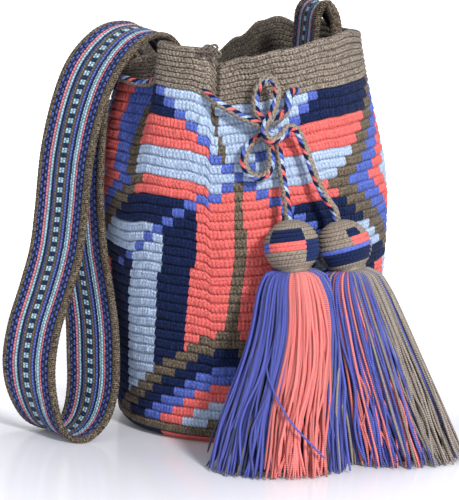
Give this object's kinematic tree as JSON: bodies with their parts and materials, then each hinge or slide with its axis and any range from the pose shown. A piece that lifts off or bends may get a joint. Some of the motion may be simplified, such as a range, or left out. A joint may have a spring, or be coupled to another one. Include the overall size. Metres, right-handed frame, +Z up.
{
  "type": "woven crossbody bag",
  "caption": "Crocheted bucket bag with a flat round base, a woven shoulder strap, a drawstring tied in front and tassels with crocheted caps.",
  "frame": {"origin": "centre of the round base's flat underside, which stands on the floor", "axes": "+Z up along the bag's axis, -Y out of the front where the drawstring is tied, +X to the right as seen from the front"},
  "size_m": [0.3909, 0.3383, 0.3687],
  "materials": {
    "body_crochet": "matte crocheted cotton in fields of taupe, navy, coral, periwinkle and light blue",
    "strap_weave": "matte woven cotton in stripes, with crocheted taupe edges",
    "cord_braid": "matte round braid of coral, navy, periwinkle, light blue and taupe yarn",
    "cap_crochet": "matte crocheted cotton, taupe with bands of the other colours",
    "tassel_yarn_left": "soft plied acrylic yarn, coral and periwinkle",
    "tassel_yarn_right": "soft plied acrylic yarn, periwinkle, coral and taupe",
    "binding_yarn": "matte cotton yarn wound tight"
  },
  "bodies": {
    "root": {"bag_body": "body_crochet", "shoulder_strap": "strap_weave", "drawstring": "cord_braid", "tassel_cap_left": "cap_crochet", "tassel_cap_right": "cap_crochet", "tassel_yarn_left": "tassel_yarn_left", "tassel_yarn_right": "tassel_yarn_right", "neck_binding_left": "binding_yarn", "neck_binding_right": "binding_yarn", "cord_knot_left": "cord_braid", "cord_knot_right": "cord_braid"}
  },
  "joints": []
}
